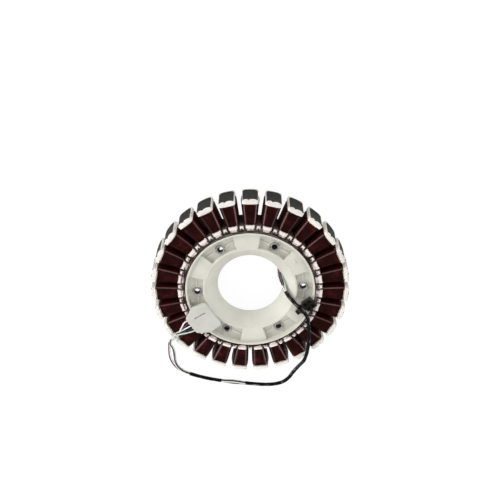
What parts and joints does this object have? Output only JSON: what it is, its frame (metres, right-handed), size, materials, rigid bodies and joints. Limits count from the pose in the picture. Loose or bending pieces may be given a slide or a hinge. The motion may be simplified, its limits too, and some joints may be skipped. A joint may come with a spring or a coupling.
{
  "type": "washing machine motor stator",
  "caption": "Ring-shaped outer-rotor motor stator with wound teeth on a laminated core, white insulators, an ivory hub with bolt bushes, a terminal cover and a sleeved wire harness.",
  "frame": {"origin": "centre of the mounting plane, on the stator's axis, where the rear ends of the bolt bushes rest", "axes": "+Z along the stator's axis towards its front face, +Y through the middle of one tooth, +X to the right when the front is seen with +Y up"},
  "size_m": [0.2598, 0.3145, 0.0489],
  "materials": {
    "steel_lamination": "satin",
    "white_plastic": "satin",
    "ivory_plastic": "satin",
    "magnet_wire": "gloss",
    "bush_steel": "satin",
    "cover_plastic": "satin",
    "black_plastic": "satin",
    "sleeve": "satin",
    "lead_insulation": "gloss"
  },
  "bodies": {
    "root": {"lamination_core": "steel_lamination", "front_insulator": "white_plastic", "rear_insulator": "white_plastic", "hub": "ivory_plastic", "hub_funnel": "ivory_plastic", "bolt_bushes": "bush_steel", "crossover_wires": "magnet_wire", "terminal_cover": "cover_plastic", "lead_wires": "lead_insulation", "harness_tie": "cover_plastic", "harness_sleeve": "sleeve", "harness_tail": "lead_insulation", "harness_plug": "cover_plastic", "cable_clip": "black_plastic", "sensor_connector": "black_plastic", "coil_01": "magnet_wire", "coil_02": "magnet_wire", "coil_03": "magnet_wire", "coil_04": "magnet_wire", "coil_05": "magnet_wire", "coil_06": "magnet_wire", "coil_07": "magnet_wire", "coil_08": "magnet_wire", "coil_09": "magnet_wire", "coil_10": "magnet_wire", "coil_11": "magnet_wire", "coil_12": "magnet_wire", "coil_13": "magnet_wire", "coil_14": "magnet_wire", "coil_15": "magnet_wire", "coil_16": "magnet_wire", "coil_17": "magnet_wire", "coil_18": "magnet_wire", "coil_19": "magnet_wire", "coil_20": "magnet_wire", "coil_21": "magnet_wire", "coil_22": "magnet_wire", "coil_23": "magnet_wire", "coil_24": "magnet_wire", "coil_25": "magnet_wire", "coil_26": "magnet_wire", "coil_27": "magnet_wire"}
  },
  "joints": []
}
